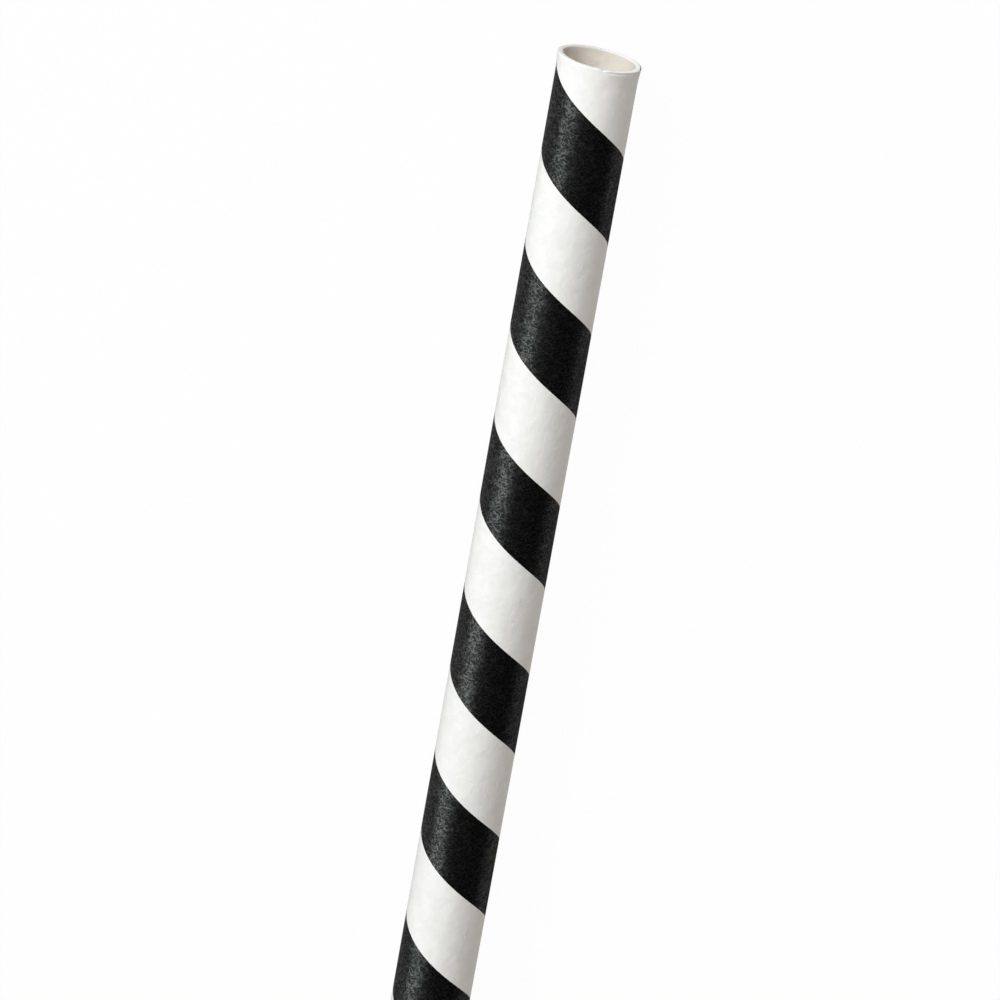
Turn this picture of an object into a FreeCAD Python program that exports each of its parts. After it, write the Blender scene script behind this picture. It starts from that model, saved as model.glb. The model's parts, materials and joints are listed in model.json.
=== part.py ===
import FreeCAD, Part
import os
import Sketcher

# A paper drinking straw, wound from strips of paper glued into one tube and lying on its side.
# The straw runs along X with its drinking end at +X. The origin is under its middle, on the
# surface that it lies on. The black stripe is the dyed part of the outermost ply: it winds
# round the tube, flush with the white paper, and fills a shallow channel of its own in the wall.

SIZES = [
    ("straw_length", 197.0, "from one cut end to the other"),
    ("outer_diameter", 6.0, "over the paper"),
    ("wall_thickness", 0.4, "all plies together"),
    ("rim_chamfer", 0.1, "bevel that the knife leaves on both edges of each rim"),
    ("stripe_lead", 13.2, "from one turn of the stripe to the next, along the straw"),
    ("stripe_width", 6.4, "of the black, along the straw"),
    ("stripe_start", 3.9, "of white between the drinking end and the stripe, along the top"),
    ("stripe_depth", 0.08, "of the dyed ply"),
]

# The stripe's forms stand this far past the faces that trim them
REACH_PAST = 0.2

# The stripe's form is swept in pieces of half a turn
TURNS_PER_PIECE = 0.5

# Turns the helix's own Z to the straw's X, and its own X, where it starts, to the straw's top
ALONG_STRAW = FreeCAD.Rotation(FreeCAD.Vector(1, 0, 1), 180)

# Stands a flat rectangle up, with its length along the straw and its width pointing up
UPRIGHT = FreeCAD.Rotation(FreeCAD.Vector(1, 0, 0), 90)

# How the sketcher numbers a line's two ends, and its own origin
LINE_ENDS = {"start": 1, "end": 2}
ORIGIN = (-1, 1)


def add_size_sheet(doc):
    """The driving dimensions, one in a row: its name, its value and what it measures."""
    sheet = doc.addObject("Spreadsheet::Sheet", "Sizes")
    for row, (alias, value, meaning) in enumerate(SIZES, start=1):
        sheet.set(f"A{row}", alias)
        sheet.set(f"B{row}", str(value))
        sheet.set(f"C{row}", meaning)
        sheet.setAlias(f"B{row}", alias)
    doc.recompute()


def add_wall_section(body):
    """Half of the tube's lengthwise section: a strip as thick as the wall, above the axis."""
    planes = {part.Role: part for part in body.Origin.OriginFeatures}
    sketch = body.newObject("Sketcher::SketchObject", "WallSection")
    sketch.AttachmentSupport = [(planes["XZ_Plane"], "")]
    sketch.MapMode = "FlatFace"
    corners = [(-90, 2), (90, 2), (90, 3), (-90, 3)]
    for (x1, y1), (x2, y2) in zip(corners, corners[1:] + corners[:1]):
        line = Part.LineSegment(FreeCAD.Vector(x1, y1, 0), FreeCAD.Vector(x2, y2, 0))
        sketch.addGeometry(line, False)
    bore, drinking_end, outside, foot_end = range(4)
    ring = [bore, drinking_end, outside, foot_end]
    for line, following in zip(ring, ring[1:] + ring[:1]):
        sketch.addConstraint(Sketcher.Constraint("Coincident", line, LINE_ENDS["end"],
                                                 following, LINE_ENDS["start"]))
    for line, kind in ((bore, "Horizontal"), (outside, "Horizontal"),
                       (drinking_end, "Vertical"), (foot_end, "Vertical")):
        sketch.addConstraint(Sketcher.Constraint(kind, line))
    driven = [
        ("drinking_half", "DistanceX", bore, "end", 90, "Sizes.straw_length / 2"),
        ("foot_half", "DistanceX", bore, "start", -90, "-Sizes.straw_length / 2"),
        ("bore_radius", "DistanceY", bore, "start", 2,
         "Sizes.outer_diameter / 2 - Sizes.wall_thickness"),
        ("outer_radius", "DistanceY", outside, "start", 3, "Sizes.outer_diameter / 2"),
    ]
    for name, kind, line, end, drawn, formula in driven:
        number = sketch.addConstraint(
            Sketcher.Constraint(kind, *ORIGIN, line, LINE_ENDS[end], drawn))
        sketch.renameConstraint(number, name)
        sketch.setExpression(f"Constraints.{name}", formula)
    return sketch


def add_paper_wall(doc):
    """The whole wound tube, all plies as one: its section turned about the axis, rims bevelled."""
    body = doc.addObject("PartDesign::Body", "PaperWall")
    body.setExpression("Placement.Base.z", "Sizes.outer_diameter / 2")
    tube = body.newObject("PartDesign::Revolution", "WoundTube")
    sketch = add_wall_section(body)
    tube.Profile = sketch
    tube.ReferenceAxis = (sketch, ["H_Axis"])
    body.Tip = tube
    doc.recompute()
    ends = [f"Edge{number}" for number, edge in enumerate(tube.Shape.Edges, start=1)
            if isinstance(edge.Curve, Part.Circle)]
    rims = body.newObject("PartDesign::Chamfer", "KnifeCutRims")
    rims.Base = (tube, ends)
    rims.setExpression("Size", "Sizes.rim_chamfer")
    body.Tip = rims
    return body


def add_ribbon(doc):
    """The stripe's winding ribbon: an upright rectangle swept along a left-hand helix.

    The helix starts on the straw's top line, whole turns before the stripe's first edge at the
    drinking end, and runs on past both ends of the straw. The ribbon is thicker than the stripe,
    inwards and outwards.
    """
    first_edge = "Sizes.straw_length / 2 - Sizes.stripe_start - Sizes.stripe_width"
    turns_back = "(ceil(Sizes.straw_length / Sizes.stripe_lead) + 1)"
    start = f"{first_edge} - {turns_back} * Sizes.stripe_lead"
    ribbon_radius = f"(Sizes.outer_diameter / 2 - Sizes.stripe_depth - {REACH_PAST})"

    path = doc.addObject("Part::Helix", "StripePath")
    path.LocalCoord = "Left-handed"
    path.SegmentLength = TURNS_PER_PIECE
    path.Placement.Rotation = ALONG_STRAW
    path.setExpression("Pitch", "Sizes.stripe_lead")
    path.setExpression("Radius", ribbon_radius)
    path.setExpression("Placement.Base.x", start)
    path.setExpression("Placement.Base.z", "Sizes.outer_diameter / 2")
    # The pitch is settled before the height, or the path would first have hundreds of turns
    doc.recompute()
    path.setExpression("Height", f"({turns_back} + 2) * Sizes.stripe_lead")

    section = doc.addObject("Part::Plane", "StripeSection")
    section.Placement.Rotation = UPRIGHT
    section.setExpression("Length", "Sizes.stripe_width")
    section.setExpression("Width", f"Sizes.stripe_depth + 2 * {REACH_PAST}")
    section.setExpression("Placement.Base.x", start)
    section.setExpression("Placement.Base.z", f"Sizes.outer_diameter / 2 + {ribbon_radius}")

    ribbon = doc.addObject("Part::Sweep", "StripeRibbon")
    ribbon.Sections = [section]
    ribbon.Spine = (path, [])
    ribbon.Solid = True
    ribbon.Frenet = True
    return ribbon


def add_rod(doc, name, radius, length):
    """A round rod along the straw's axis, about the middle of its length."""
    rod = doc.addObject("Part::Cylinder", name)
    rod.Placement.Rotation = ALONG_STRAW
    rod.setExpression("Radius", radius)
    rod.setExpression("Height", length)
    rod.setExpression("Placement.Base.x", f"-({length}) / 2")
    rod.setExpression("Placement.Base.z", "Sizes.outer_diameter / 2")
    return rod


def add_stripe_form(doc):
    """What cuts the stripe out of the wall: the ribbon outside the undyed plies."""
    form = doc.addObject("Part::Cut", "StripeForm")
    form.Base = add_ribbon(doc)
    form.Tool = add_rod(doc, "UndyedPlies", "Sizes.outer_diameter / 2 - Sizes.stripe_depth",
                        "Sizes.straw_length + 4 * Sizes.stripe_lead")
    form.Refine = False
    return form


def add_straw_tube(doc, wall, stripe_form):
    """The white paper tube, with the stripe's channel in its outside."""
    tube = doc.addObject("Part::Cut", "StrawTube")
    tube.Label = "straw_tube"
    tube.Base = wall
    tube.Tool = stripe_form
    tube.Refine = False
    return tube


def add_black_stripe(doc, wall, stripe_form):
    """The black stripe: the part of the wall that lies in the stripe's form."""
    stripe = doc.addObject("Part::Common", "BlackStripe")
    stripe.Label = "black_stripe"
    stripe.Base = wall
    stripe.Tool = stripe_form
    stripe.Refine = False
    return stripe


def check(doc, pieces):
    """Stops if an object failed, a piece isn't one sound solid, or the two don't fill the wall."""
    for item in doc.Objects:
        if "Invalid" in item.State or "Error" in item.State:
            raise RuntimeError(f"{item.Label} failed: {item.State}")
    for piece in pieces:
        shape = piece.Shape
        if shape.isNull() or not shape.isValid() or len(shape.Solids) != 1:
            raise RuntimeError(f"{piece.Label} isn't one sound solid")
    wall = doc.getObject("PaperWall").Shape.Volume
    filled = sum(piece.Shape.Volume for piece in pieces)
    if abs(filled - wall) > 1e-4 * wall:
        raise RuntimeError(f"tube and stripe hold {filled:.3f} mm3 of the wall's {wall:.3f}")


def write_steps(pieces):
    """One STEP file for each piece, named after it."""
    os.makedirs("parts", exist_ok=True)
    for piece in pieces:
        piece.Shape.exportStep(f"parts/{piece.Label}.step")
        print(f"{piece.Label}: {piece.Shape.Volume:.2f} mm3, {len(piece.Shape.Faces)} faces")


def main():
    doc = FreeCAD.newDocument("PaperStraw")
    add_size_sheet(doc)
    wall = add_paper_wall(doc)
    stripe_form = add_stripe_form(doc)
    pieces = [add_straw_tube(doc, wall, stripe_form), add_black_stripe(doc, wall, stripe_form)]
    doc.recompute()
    check(doc, pieces)
    write_steps(pieces)


main()
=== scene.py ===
import json
import math
import bmesh
import bpy
import mathutils
import numpy as np
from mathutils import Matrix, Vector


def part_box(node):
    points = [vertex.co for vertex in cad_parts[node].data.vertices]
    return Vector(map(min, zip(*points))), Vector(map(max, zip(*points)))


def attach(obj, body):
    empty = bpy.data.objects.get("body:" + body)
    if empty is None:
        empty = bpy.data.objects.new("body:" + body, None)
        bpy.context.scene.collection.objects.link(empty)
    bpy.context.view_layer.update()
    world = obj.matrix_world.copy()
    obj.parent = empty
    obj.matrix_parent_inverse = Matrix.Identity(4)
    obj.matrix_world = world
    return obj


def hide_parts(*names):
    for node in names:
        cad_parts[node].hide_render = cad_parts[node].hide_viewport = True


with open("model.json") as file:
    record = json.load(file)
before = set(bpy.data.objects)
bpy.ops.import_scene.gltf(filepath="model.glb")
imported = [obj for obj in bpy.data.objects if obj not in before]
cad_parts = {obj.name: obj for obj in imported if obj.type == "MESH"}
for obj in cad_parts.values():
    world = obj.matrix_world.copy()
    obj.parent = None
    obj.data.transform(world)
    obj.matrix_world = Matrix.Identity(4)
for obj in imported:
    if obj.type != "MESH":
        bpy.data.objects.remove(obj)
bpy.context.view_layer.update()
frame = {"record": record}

# A paper drinking straw, lying along X with its drinking end at +X. Angles round the straw are
# counted from its top line, towards -Y.

MM = 0.001

# The straw's own measures, from the frame
low_corner, high_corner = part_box("straw_tube")
FOOT_X = low_corner.x
MOUTH_X = high_corner.x
OUTER_RADIUS = (high_corner.y - low_corner.y) / 2
AXIS_HEIGHT = low_corner.z + OUTER_RADIUS
mounts = {mount["name"]: mount for mount in frame["record"]["mounts"]}
BORE_RADIUS = mounts["bore"]["dims"]["r_mm"] * MM

# The stripe and the rims
STRIPE_LEAD = 13.2 * MM
STRIPE_WIDTH = 6.4 * MM
STRIPE_START = 3.9 * MM
STRIPE_DEPTH = 0.08 * MM
RIM_ROUNDING = 0.12 * MM

# How finely the surfaces are worked out
COLUMNS_ROUND = 104
BODY_ROW_STEP = 0.3 * MM
BORE_ROW_STEP = 4.0 * MM
ROUNDING_STEPS = 5
LIP_ROW_STEP = 0.025 * MM
LIP_ZONE = 1.2 * MM
BORE_LIP_ROWS = 11
WELD_DISTANCE = 0.001 * MM
SHARP_FROM = math.radians(40)

# The knife's traces at the drinking end: a lip that stands out over a shallow neck, a nick
# where the outermost strip's edge meets the cut, a cut that slants and isn't quite flat, and
# paper that flares a little towards it. Each trace fades out over its reach below the cut.
NECK_DEPTH = 0.06 * MM
NECK_BELOW_CUT = 0.19 * MM
NECK_HALF_WIDTH = 0.06 * MM
NECK_FROM = math.radians(12)
NECK_TO = math.radians(104)
NECK_FADES_IN = math.radians(6)
NECK_FADES_OUT = math.radians(30)
NICK_ANGLE = math.radians(8)
NICK_HALF_WIDTH = math.radians(2.6)
NICK_DEPTH = 0.10 * MM
NICK_REACH = 0.30 * MM
CUT_WAVE = 0.03 * MM
CUT_SLANT = 0.31 * MM
SLANT_REACH = 0.9 * MM
FLARE = 0.08 * MM
FLARE_REACH = 0.9 * MM

# The cut's two waves: each one's share of the height, its count round the cut and its start
CUT_WAVES = ((0.6, 1, 0.7), (0.4, 2, -0.4))

# The papers' colours, each between two. The bore's colour is painted shade: darker and warmer
# than the outside's, it stands for the shade inside the tube, and it reaches from the bore a
# little way out onto the cut.
OUTSIDE_WHITES = ((0.85, 0.852, 0.835), (0.90, 0.902, 0.886))
BORE_SHADE_WHITES = ((0.77, 0.70, 0.615), (0.89, 0.845, 0.785))
BLACKS = ((0.0014, 0.0014, 0.0012), (0.003, 0.003, 0.0026))
BORE_SHADE_RADIUS = BORE_RADIUS + RIM_ROUNDING / 3

# The papers' fields, by the scale of their noises. The lines' half width is in the noise's own
# values.
FIBRES_PER_MM = (2.0, 2.7)
FIBRE_SQUEEZE = (1.4, 1, 1)
CREASES_PER_MM = 0.55
CREASED_PATCHES_PER_MM = 0.7
FELT_PER_MM = 5.0
DENTS_PER_MM = 0.9
CLOUDS_PER_MM = 1.1
LINE_HALF_WIDTH = 0.06
LINE_CURL = 0.8

# The relief: how high each field stands in the white paper, and the depth of one such height
WHITE_RELIEF = (("Felt", 0.35), ("Dents", 3.4), ("Creases", 0.4))
WHITE_RELIEF_DEPTH = 0.02 * MM
BLACK_RELIEF_DEPTH = 0.01 * MM

# How much of the black's sheen its ground has, and how much more its fibres have
GROUND_SHINE = 0.12
FIBRE_SHINE = 0.85

# The even light from all round. Its strength falls by the slope's share straight towards where
# the mouth points, and rises as much the other way. Reflections see it dim and plain.
EVEN_STRENGTH = 0.335
EVEN_COLOUR = (1.0, 0.935, 0.872)
EVEN_SLOPE = 0.75
EVEN_IN_REFLECTIONS = 0.012

# The soft boxes, all aimed at the middle of the shown stretch from the same distance. Each has
# its name, its angle from the straw's top line, its angle towards the mouth, its size in metres
# and its watts.
SHOWN_MIDDLE = (60 * MM, 0, AXIS_HEIGHT)
BOX_DISTANCE = 0.6
BOX_COLOUR = (0.96, 0.992, 1.008)
SOFT_BOXES = (
    ("key_box", math.radians(37.5), math.radians(45), (0.35, 0.35), 3.5),
    ("side_box", math.radians(60), math.radians(-21), (0.3, 0.42), 0.9),
)

# The floor's grey in reflections and the darker one with which it lights the straw, its glow on
# the straw's shaded side, how white the camera sees floor and backdrop, and how much of that
# the straw's shadow can take
FLOOR_REACH = 3.0
FLOOR_TONE = 0.25
LIT_FLOOR_TONE = FLOOR_TONE / 3
FLOOR_GLOW = 0.72
PURE_WHITE = (1.0, 1.0, 1.0)
SEEN_WHITE = 0.993
SHADOW_SHARE = 0.02

# The photo's frame and the camera as measured in it
IMAGE_SIZE = 1000
SENSOR_WIDTH = 36.0
FOCAL_PIXELS = 5000
RIM_CENTRE_PIXEL = (600.1, 56.0)
RIM_DISTANCE = 349.0 * MM
LOOK_DOWN = math.radians(70.2)
STRAW_LEANS = math.radians(10.12)


def stripe_twist(x):
    """How far the stripe's pattern has turned at x: a full turn back for each lead."""
    return -2 * math.pi * (x - (MOUTH_X - STRIPE_START)) / STRIPE_LEAD


def stripe_columns():
    """Phases of the lengthwise mesh lines, evenly spaced in the black and in the white.

    The black runs from -2 pi times its share of the lead up to zero, the white on from there.
    """
    black_share = STRIPE_WIDTH / STRIPE_LEAD
    black_count = round(COLUMNS_ROUND * black_share)
    white_count = COLUMNS_ROUND - black_count
    black = np.linspace(-2 * math.pi * black_share, 0, black_count + 1)
    white = np.linspace(0, 2 * math.pi * (1 - black_share), white_count + 1)
    return black, white


def smooth_step(value, low, high):
    """0 below low, 1 above high, and an S curve between."""
    t = np.clip((value - low) / (high - low), 0, 1)
    return t * t * (3 - 2 * t)


def knife_traces(x, radius, angle):
    """Moves points near the drinking end: returns their new x and radius.

    The straw flares a little towards the cut: the rest of its outside lies the flare's height
    lower. The neck takes a bell curve of depth off the outside below the cut, on one side of the
    nick. The nick pulls the edge down by a bell curve round its angle, fading below the cut. The
    cut itself slants down towards -Y, waves by two slow sines and never rises over the straw's
    end.
    """
    turned = np.mod(angle + math.pi, 2 * math.pi) - math.pi
    below = MOUTH_X - x
    side = (smooth_step(turned, NECK_FROM, NECK_FROM + NECK_FADES_IN)
            * (1 - smooth_step(turned, NECK_TO - NECK_FADES_OUT, NECK_TO)))
    outside = smooth_step(radius, BORE_RADIUS + RIM_ROUNDING, OUTER_RADIUS - RIM_ROUNDING)
    neck = np.exp(-((below - NECK_BELOW_CUT) / NECK_HALF_WIDTH) ** 2)
    flare = FLARE * (1 - np.exp(-(below / FLARE_REACH) ** 2))
    radius = radius - (NECK_DEPTH * neck * side + flare) * outside
    near_cut = np.exp(-below / NICK_REACH)
    nick = NICK_DEPTH * np.exp(-((turned - NICK_ANGLE) / NICK_HALF_WIDTH) ** 2)
    waves = sum(share * np.sin(count * angle + start) for share, count, start in CUT_WAVES)
    wave = CUT_WAVE * (1 - waves) / 2
    slant = CUT_SLANT * (1 + np.sin(angle)) / 2 * np.exp(-below / SLANT_REACH)
    x = x - (nick + wave) * near_cut - slant
    return x, radius


def rounding(start, stop):
    """Angles along a rim's quarter circle, from 0 where it leaves the tube's side."""
    return np.linspace(start, stop, ROUNDING_STEPS + 1)


def outside_profile():
    """x and radius along the tube's outside, from foot to drinking end.

    A straight line at the outer radius with a rounded end each way. Each rounding stops where
    its quarter circle has come in by the stripe's depth, so that the stripe ends there.
    """
    stop = math.acos(1 - STRIPE_DEPTH / RIM_ROUNDING)
    arc = rounding(0, stop)
    arc_x = RIM_ROUNDING * (np.sin(arc) - 1)
    arc_radius = OUTER_RADIUS + RIM_ROUNDING * (np.cos(arc) - 1)
    lip_x = MOUTH_X - LIP_ZONE
    lip_rows = round((LIP_ZONE - RIM_ROUNDING) / LIP_ROW_STEP)
    body_rows = round((lip_x - FOOT_X - RIM_ROUNDING) / BODY_ROW_STEP)
    body = np.linspace(FOOT_X + RIM_ROUNDING, lip_x, body_rows + 1)
    lip = np.linspace(lip_x, MOUTH_X - RIM_ROUNDING, lip_rows + 1)
    x = np.concatenate([(FOOT_X - arc_x)[:0:-1], body, lip[1:], MOUTH_X + arc_x[1:]])
    straight = np.full(len(body) + len(lip) - 1, OUTER_RADIUS)
    radius = np.concatenate([arc_radius[:0:-1], straight, arc_radius[1:]])
    return x, radius


def bore_profile():
    """x and radius from the end of one outside rounding through the bore to the other.

    The rest of the outer rounding, the cut face, the inner rounding and the bore's wall, then
    the same three at the foot in reverse.
    """
    start = math.acos(1 - STRIPE_DEPTH / RIM_ROUNDING)
    outer = rounding(start, math.pi / 2)
    inner = rounding(math.pi / 2, 0)
    end_x = np.concatenate([np.sin(outer), np.sin(inner)]) * RIM_ROUNDING - RIM_ROUNDING
    end_radius = np.concatenate([
        OUTER_RADIUS + RIM_ROUNDING * (np.cos(outer) - 1),
        BORE_RADIUS + RIM_ROUNDING * (1 - np.cos(inner)),
    ])
    first = MOUTH_X - LIP_ZONE
    near_lip = np.linspace(MOUTH_X - RIM_ROUNDING, first, BORE_LIP_ROWS + 1)[1:]
    rows = round((first - FOOT_X - RIM_ROUNDING) / BORE_ROW_STEP)
    wall = np.linspace(first, FOOT_X + RIM_ROUNDING, rows + 1)[1:-1]
    x = np.concatenate([MOUTH_X + end_x, near_lip, wall, (FOOT_X - end_x)[::-1]])
    bore = np.full(len(near_lip) + len(wall), BORE_RADIUS)
    radius = np.concatenate([end_radius, bore, end_radius[::-1]])
    return x, radius


def grid_mesh(x, radius, angle, first_vertex=0):
    """Points and faces of a grid of rows along the straw and columns that close round it."""
    x, radius = knife_traces(x, radius, angle)
    points = np.stack([x, -radius * np.sin(angle), AXIS_HEIGHT + radius * np.cos(angle)], axis=-1)
    rows, columns = x.shape
    index = first_vertex + np.arange(rows * columns).reshape(rows, columns)
    following = np.roll(index, -1, axis=1)
    faces = np.stack([index[:-1], following[:-1], following[1:], index[1:]], axis=-1)
    return points.reshape(-1, 3), faces.reshape(-1, 4)


def closed_piece(name, grids, material, node):
    """One solid from grids whose end rows meet: merged, facing outwards, smooth but for edges."""
    points = np.concatenate([grid[0] for grid in grids])
    faces = np.concatenate([grid[1] for grid in grids])
    mesh = bpy.data.meshes.new(name)
    mesh.from_pydata(points.tolist(), [], faces.tolist())
    shape = bmesh.new()
    shape.from_mesh(mesh)
    bmesh.ops.remove_doubles(shape, verts=shape.verts, dist=WELD_DISTANCE)
    bmesh.ops.recalc_face_normals(shape, faces=shape.faces)
    shape.to_mesh(mesh)
    shape.free()
    mesh.polygons.foreach_set("use_smooth", np.ones(len(mesh.polygons), dtype=bool))
    mesh.set_sharp_from_angle(angle=SHARP_FROM)
    mesh.materials.append(material)
    piece = bpy.data.objects.new(name, mesh)
    bpy.context.scene.collection.objects.link(piece)
    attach(piece, "root")
    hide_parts(node)
    return piece


def outside_grid(phases, inset):
    """The outside's rows, twisted with the stripe, at these phases.

    inset is 0 for a column on the paper's face and 1 for one on the floor of the stripe's
    channel, which lies a stripe's depth under the outer radius.
    """
    x, radius = outside_profile()
    x_grid = np.repeat(x[:, None], len(phases), axis=1)
    angle = phases[None, :] + stripe_twist(x_grid)
    floor_radius = OUTER_RADIUS - STRIPE_DEPTH
    radius_grid = np.where(inset[None, :] > 0, floor_radius, radius[:, None])
    return x_grid, radius_grid, angle


def bore_grid(phases):
    """The bore's rows. Their columns start where the outside's end at the drinking end, and
    shift evenly along the bore to where the outside's columns end at the foot."""
    x, radius = bore_profile()
    at_mouth = np.sort(np.mod(phases + stripe_twist(x[0]), 2 * math.pi))
    at_foot = np.sort(np.mod(phases + stripe_twist(x[-1]), 2 * math.pi))
    share = ((x - x[-1]) / (x[0] - x[-1]))[:, None]
    share = np.clip(share, 0, 1)
    angle = share * at_mouth[None, :] + (1 - share) * at_foot[None, :]
    shape = angle.shape
    return np.broadcast_to(x[:, None], shape), np.broadcast_to(radius[:, None], shape), angle


def make_straw_tube(material):
    """The white tube: its outside with the stripe's channel, its two rims and its bore."""
    black, white = stripe_columns()
    phases = np.concatenate([white, black + 2 * math.pi])
    inset = np.concatenate([np.zeros(len(white)), np.ones(len(black))])
    outside = grid_mesh(*outside_grid(phases, inset))
    bore_phases = np.concatenate([white[:-1], black[:-1]])
    bore = grid_mesh(*bore_grid(bore_phases), first_vertex=len(outside[0]))
    piece = closed_piece("white_paper_tube", [outside, bore], material, "straw_tube")


def make_black_stripe(material):
    """The black ribbon that fills the channel: its face out and back along its underside."""
    black, _ = stripe_columns()
    phases = np.concatenate([black, black[::-1]])
    inset = np.concatenate([np.zeros(len(black)), np.ones(len(black))])
    ribbon = grid_mesh(*outside_grid(phases, inset))
    piece = closed_piece("black_paper_stripe", [ribbon], material, "black_stripe")


class Nodes:
    """Shorthand for adding and linking nodes in one tree."""

    def __init__(self, tree):
        self.tree = tree

    def add(self, kind, **settings):
        node = self.tree.nodes.new(kind)
        for name, value in settings.items():
            setattr(node, name, value)
        return node

    def link(self, source, target):
        self.tree.links.new(source, target)

    def math(self, operation, first, second=None):
        node = self.add("ShaderNodeMath", operation=operation)
        for socket, value in zip(node.inputs, (first, second)):
            if value is None:
                continue
            if isinstance(value, (int, float)):
                socket.default_value = value
            else:
                self.link(value, socket)
        return node.outputs[0]

    def noise(self, vector, per_mm, detail, roughness, distortion=0.0):
        node = self.add("ShaderNodeTexNoise")
        self.link(vector, node.inputs["Vector"])
        node.inputs["Scale"].default_value = per_mm / MM
        node.inputs["Detail"].default_value = detail
        node.inputs["Roughness"].default_value = roughness
        node.inputs["Distortion"].default_value = distortion
        return node.outputs["Fac"]

    def ramp(self, value, zero_at, one_at):
        """0 to 1 between two values of a field."""
        node = self.add("ShaderNodeMapRange")
        self.link(value, node.inputs["Value"])
        node.inputs["From Min"].default_value = zero_at
        node.inputs["From Max"].default_value = one_at
        return node.outputs["Result"]


def middle_lines(nodes, position, per_mm):
    """Thin lines, 1 where a noise of this scale is at its middle value and 0 a little off it."""
    waves = nodes.noise(position, per_mm, detail=0.0, roughness=0.5, distortion=LINE_CURL)
    off_middle = nodes.math("ABSOLUTE", nodes.math("SUBTRACT", waves, 0.5))
    return nodes.ramp(off_middle, LINE_HALF_WIDTH, 0.0)


def make_fibre_group():
    """Paper's fibres and mottle, as fields over the surface.

    Strokes are thin curling fibres: the lines along which either of two noises, squeezed a
    little along the straw, has its middle value. Creases are such lines of a much slower noise,
    where another noise is high. Felt is a fine noise. Dents is a noise of the size of the
    paper's soft dents. Cloud is the mottle where the paper is thicker or thinner.
    """
    group = bpy.data.node_groups.new("paper_fibres", "ShaderNodeTree")
    group.interface.new_socket("Position", in_out="INPUT", socket_type="NodeSocketVector")
    for name in ("Strokes", "Creases", "Felt", "Dents", "Cloud"):
        group.interface.new_socket(name, in_out="OUTPUT", socket_type="NodeSocketFloat")
    nodes = Nodes(group)
    inside = nodes.add("NodeGroupInput")
    outside = nodes.add("NodeGroupOutput")
    position = inside.outputs["Position"]
    squeeze = nodes.add("ShaderNodeVectorMath", operation="MULTIPLY")
    nodes.link(position, squeeze.inputs[0])
    squeeze.inputs[1].default_value = FIBRE_SQUEEZE
    lines = [middle_lines(nodes, squeeze.outputs[0], per_mm) for per_mm in FIBRES_PER_MM]
    nodes.link(nodes.math("MAXIMUM", *lines), outside.inputs["Strokes"])
    patches = nodes.noise(position, CREASED_PATCHES_PER_MM, detail=1.0, roughness=0.5)
    creased = nodes.ramp(patches, zero_at=0.52, one_at=0.62)
    creases = nodes.math("MULTIPLY", middle_lines(nodes, position, CREASES_PER_MM), creased)
    nodes.link(creases, outside.inputs["Creases"])
    felt = nodes.noise(position, FELT_PER_MM, detail=3.0, roughness=0.6)
    nodes.link(felt, outside.inputs["Felt"])
    dents = nodes.noise(position, DENTS_PER_MM, detail=2.0, roughness=0.5, distortion=0.6)
    nodes.link(dents, outside.inputs["Dents"])
    clouds = nodes.noise(position, CLOUDS_PER_MM, detail=3.0, roughness=0.6)
    nodes.link(nodes.ramp(clouds, zero_at=0.35, one_at=0.65), outside.inputs["Cloud"])
    return group


def paper_material(name, fibre_group):
    """A paper material's shader, its tree's helper and its fibre fields."""
    material = bpy.data.materials.new(name)
    material.use_nodes = True
    nodes = Nodes(material.node_tree)
    shader = material.node_tree.nodes["Principled BSDF"]
    place = nodes.add("ShaderNodeTexCoord")
    fibres = nodes.add("ShaderNodeGroup", node_tree=fibre_group)
    nodes.link(place.outputs["Object"], fibres.inputs["Position"])
    return material, nodes, shader, fibres, place.outputs["Object"]


def colour_between(nodes, factor, colours):
    """A colour that goes from the first to the second with the factor."""
    mix = nodes.add("ShaderNodeMix", data_type="RGBA")
    nodes.link(factor, mix.inputs["Factor"])
    mix.inputs["A"].default_value = (*colours[0], 1)
    mix.inputs["B"].default_value = (*colours[1], 1)
    return mix.outputs["Result"]


def bump(nodes, height, strength, depth):
    """A bump of this depth from a height field."""
    node = nodes.add("ShaderNodeBump")
    node.inputs["Strength"].default_value = strength
    node.inputs["Distance"].default_value = depth
    nodes.link(height, node.inputs["Height"])
    return node.outputs["Normal"]


def off_axis(nodes, position):
    """Distance from the straw's axis."""
    apart = nodes.add("ShaderNodeSeparateXYZ")
    nodes.link(position, apart.inputs[0])
    above = nodes.math("SUBTRACT", apart.outputs["Z"], AXIS_HEIGHT)
    across = nodes.math("MULTIPLY", apart.outputs["Y"], apart.outputs["Y"])
    return nodes.math("SQRT", nodes.math("ADD", across, nodes.math("MULTIPLY", above, above)))


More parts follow.
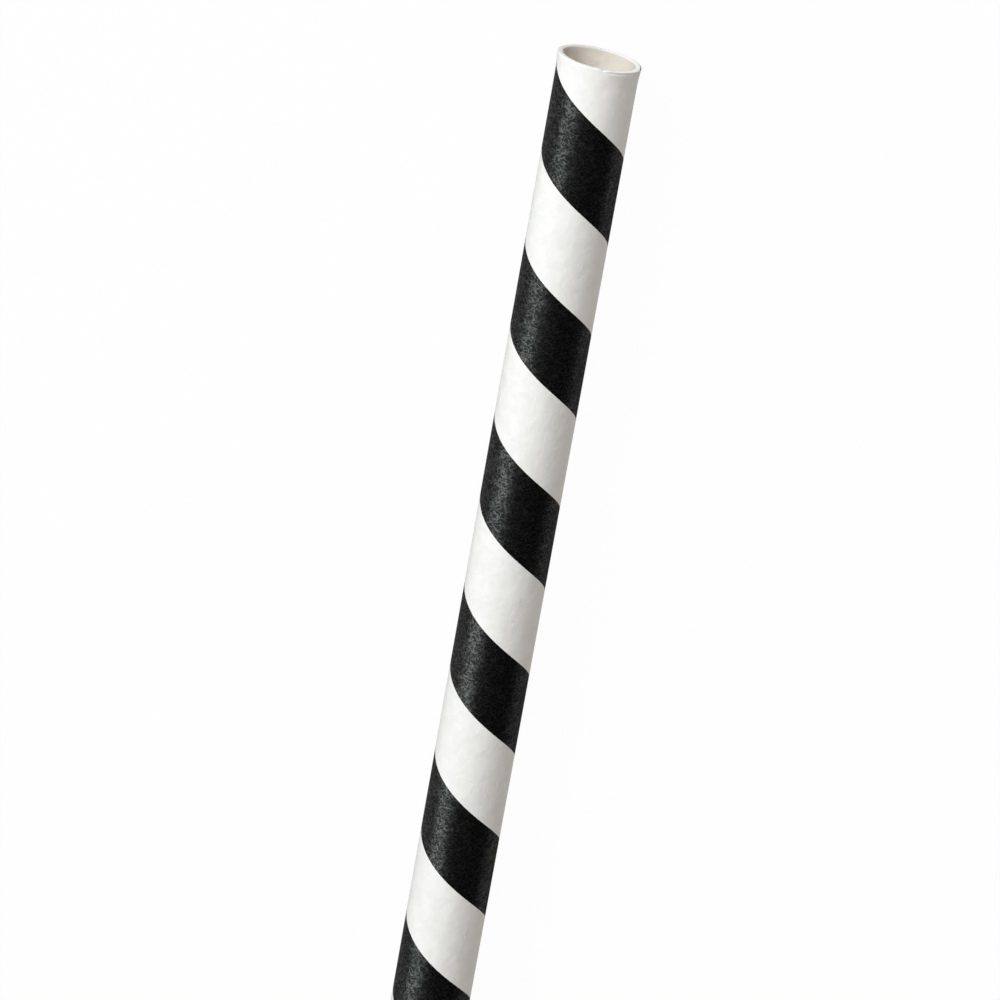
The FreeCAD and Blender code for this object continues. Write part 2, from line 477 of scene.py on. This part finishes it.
def make_white_paper(fibre_group):
    """White, matt, uncoated paper with a faint mottle, soft dents and creases. The bore's wall,
    and a thin edge of the cut next to it, is painted darker and warmer than the outside: painted
    shade for the inside of the tube."""
    material, nodes, shader, fibres, position = paper_material("uncoated_white", fibre_group)
    outside = colour_between(nodes, fibres.outputs["Cloud"], OUTSIDE_WHITES)
    # Painted shade: the bore's wall and the cut's inner edge get a darker, warmer colour than the
    # outside
    inside = colour_between(nodes, fibres.outputs["Dents"], BORE_SHADE_WHITES)
    in_bore_shade = nodes.math("LESS_THAN", off_axis(nodes, position), BORE_SHADE_RADIUS)
    mix = nodes.add("ShaderNodeMix", data_type="RGBA")
    nodes.link(in_bore_shade, mix.inputs["Factor"])
    nodes.link(outside, mix.inputs["A"])
    nodes.link(inside, mix.inputs["B"])
    nodes.link(mix.outputs["Result"], shader.inputs["Base Color"])
    relief = 0.0
    for field, height in WHITE_RELIEF:
        relief = nodes.math("ADD", relief, nodes.math("MULTIPLY", fibres.outputs[field], height))
    normal = bump(nodes, relief, strength=1.0, depth=WHITE_RELIEF_DEPTH)
    nodes.link(normal, shader.inputs["Normal"])
    shader.inputs["Roughness"].default_value = 0.72
    shader.inputs["Specular IOR Level"].default_value = 0.35
    return material


def make_black_paper(fibre_group):
    """Black printed paper: near black, under a thin sheen that is stronger on its fibres."""
    material, nodes, shader, fibres, _ = paper_material("printed_black", fibre_group)
    strokes = fibres.outputs["Strokes"]
    felt = fibres.outputs["Felt"]
    nodes.link(colour_between(nodes, strokes, BLACKS), shader.inputs["Base Color"])
    relief = nodes.math("ADD", strokes, felt)
    normal = bump(nodes, relief, strength=0.5, depth=BLACK_RELIEF_DEPTH)
    nodes.link(normal, shader.inputs["Normal"])
    shader.inputs["Roughness"].default_value = 0.5
    shader.inputs["Specular IOR Level"].default_value = 0.15
    shine = nodes.math("ADD", GROUND_SHINE, nodes.math("MULTIPLY", strokes, FIBRE_SHINE))
    nodes.link(shine, shader.inputs["Coat Weight"])
    shader.inputs["Coat Roughness"].default_value = 0.36
    shader.inputs["Coat IOR"].default_value = 2.1
    return material


def camera_axes():
    """Right, up and forward of the camera.

    It looks down at the straw from beyond the drinking end, and is rolled so that the straw
    leans to the right in the picture.
    """
    forward = np.array([-math.cos(LOOK_DOWN), 0, -math.sin(LOOK_DOWN)])
    along = np.array([math.sin(LOOK_DOWN), 0, -math.cos(LOOK_DOWN)])
    across = np.array([0, -1, 0])
    up = along * math.cos(STRAW_LEANS) - across * math.sin(STRAW_LEANS)
    right = across * math.cos(STRAW_LEANS) + along * math.sin(STRAW_LEANS)
    return right, up, forward


def make_camera():
    """A long lens that shows the drinking end where the photo has it."""
    right, up, forward = camera_axes()
    aside = (RIM_CENTRE_PIXEL[0] - IMAGE_SIZE / 2) / FOCAL_PIXELS
    above = (IMAGE_SIZE / 2 - RIM_CENTRE_PIXEL[1]) / FOCAL_PIXELS
    rim_centre = np.array([MOUTH_X, 0, AXIS_HEIGHT])
    place = rim_centre - RIM_DISTANCE * (forward + aside * right + above * up)
    data = bpy.data.cameras.new("camera")
    data.sensor_width = SENSOR_WIDTH
    data.lens = SENSOR_WIDTH * FOCAL_PIXELS / IMAGE_SIZE
    data.clip_start = 1 * MM
    data.clip_end = 20
    camera = bpy.data.objects.new("camera", data)
    turned = np.eye(4)
    turned[:3, 0] = right
    turned[:3, 1] = up
    turned[:3, 2] = -forward
    turned[:3, 3] = place
    camera.matrix_world = mathutils.Matrix(turned.tolist())
    bpy.context.scene.collection.objects.link(camera)
    bpy.context.scene.camera = camera


def aim(lamp, target):
    """Turns a lamp so that it shines at the target."""
    direction = np.array(target) - np.array(lamp.location)
    yaw = math.atan2(direction[1], direction[0])
    pitch = math.atan2(math.hypot(direction[0], direction[1]), -direction[2])
    lamp.rotation_euler = (pitch, 0, yaw - math.pi / 2)


def make_soft_box(name, from_top, towards_mouth, size, watts):
    """A soft box, placed by its angles from the straw's top line and towards the mouth."""
    data = bpy.data.lights.new(name, "AREA")
    data.shape = "RECTANGLE"
    data.size, data.size_y = size
    data.energy = watts
    data.color = BOX_COLOUR
    lamp = bpy.data.objects.new(name, data)
    sideways = math.cos(towards_mouth)
    lamp.location = (
        SHOWN_MIDDLE[0] + BOX_DISTANCE * math.sin(towards_mouth),
        SHOWN_MIDDLE[1] + BOX_DISTANCE * sideways * math.sin(from_top),
        SHOWN_MIDDLE[2] + BOX_DISTANCE * sideways * math.cos(from_top),
    )
    aim(lamp, SHOWN_MIDDLE)
    bpy.context.scene.collection.objects.link(lamp)


def make_floor():
    """A white floor. The camera sees mostly its own white, so that the straw's shadow stays
    faint. On the straw's shaded side it lights the straw as a white card would, and
    reflections see plain grey."""
    mesh = bpy.data.meshes.new("floor")
    near, far = -FLOOR_REACH, FLOOR_REACH
    corners = [(near, near, 0), (far, near, 0), (far, far, 0), (near, far, 0)]
    mesh.from_pydata(corners, [], [(0, 1, 2, 3)])
    floor = bpy.data.objects.new("floor", mesh)
    bpy.context.scene.collection.objects.link(floor)
    material = bpy.data.materials.new("floor")
    material.use_nodes = True
    nodes = Nodes(material.node_tree)
    material.node_tree.nodes.clear()
    seen = nodes.add("ShaderNodeLightPath")
    out = nodes.add("ShaderNodeOutputMaterial")
    place = nodes.add("ShaderNodeTexCoord")
    apart = nodes.add("ShaderNodeSeparateXYZ")
    nodes.link(place.outputs["Object"], apart.inputs[0])
    shaded_side = nodes.math("LESS_THAN", apart.outputs["Y"], 0.0)
    card = nodes.math("MULTIPLY", shaded_side, FLOOR_GLOW)
    others = lit_surface(nodes, FLOOR_TONE, 0.0, PURE_WHITE)
    for ray, tone, glow, colour in (
            ("Is Diffuse Ray", LIT_FLOOR_TONE, card, EVEN_COLOUR),
            ("Is Camera Ray", SHADOW_SHARE, SEEN_WHITE - SHADOW_SHARE, PURE_WHITE)):
        choose = nodes.add("ShaderNodeMixShader")
        nodes.link(seen.outputs[ray], choose.inputs["Fac"])
        nodes.link(others, choose.inputs[1])
        nodes.link(lit_surface(nodes, tone, glow, colour), choose.inputs[2])
        others = choose.outputs[0]
    nodes.link(others, out.inputs["Surface"])
    mesh.materials.append(material)


def lit_surface(nodes, tone, glow, colour):
    """A matt surface of this grey that also glows by itself, by a value or a mask."""
    matt = nodes.add("ShaderNodeBsdfDiffuse")
    matt.inputs["Color"].default_value = (tone, tone, tone, 1)
    light = nodes.add("ShaderNodeEmission")
    light.inputs["Color"].default_value = (*colour, 1)
    if isinstance(glow, float):
        light.inputs["Strength"].default_value = glow
    else:
        nodes.link(glow, light.inputs["Strength"])
    both = nodes.add("ShaderNodeAddShader")
    nodes.link(matt.outputs[0], both.inputs[0])
    nodes.link(light.outputs[0], both.inputs[1])
    return both.outputs[0]


def make_world():
    """Slightly warm light from all round, weaker from where the straw's mouth points and weak in
    reflections. The camera sees plain white."""
    world = bpy.data.worlds.new("studio")
    bpy.context.scene.world = world
    world.use_nodes = True
    nodes = Nodes(world.node_tree)
    world.node_tree.nodes.clear()
    seen = nodes.add("ShaderNodeLightPath")
    place = nodes.add("ShaderNodeTexCoord")
    direction = nodes.add("ShaderNodeSeparateXYZ")
    nodes.link(place.outputs["Generated"], direction.inputs[0])
    sloped = nodes.math("SUBTRACT", EVEN_STRENGTH,
                        nodes.math("MULTIPLY", direction.outputs["X"],
                                   EVEN_SLOPE * EVEN_STRENGTH))
    even = nodes.add("ShaderNodeBackground")
    even.inputs["Color"].default_value = (*EVEN_COLOUR, 1)
    nodes.link(sloped, even.inputs["Strength"])
    others = even.outputs[0]
    for ray, strength in (("Is Glossy Ray", EVEN_IN_REFLECTIONS), ("Is Camera Ray", SEEN_WHITE)):
        white = nodes.add("ShaderNodeBackground")
        white.inputs["Color"].default_value = (*PURE_WHITE, 1)
        white.inputs["Strength"].default_value = strength
        choose = nodes.add("ShaderNodeMixShader")
        nodes.link(seen.outputs[ray], choose.inputs["Fac"])
        nodes.link(others, choose.inputs[1])
        nodes.link(white.outputs[0], choose.inputs[2])
        others = choose.outputs[0]
    out = nodes.add("ShaderNodeOutputWorld")
    nodes.link(others, out.inputs["Surface"])


fibre_group = make_fibre_group()
make_straw_tube(make_white_paper(fibre_group))
make_black_stripe(make_black_paper(fibre_group))
make_camera()
make_floor()
make_world()
for soft_box in SOFT_BOXES:
    make_soft_box(*soft_box)
bpy.context.scene.view_settings.view_transform = "Standard"
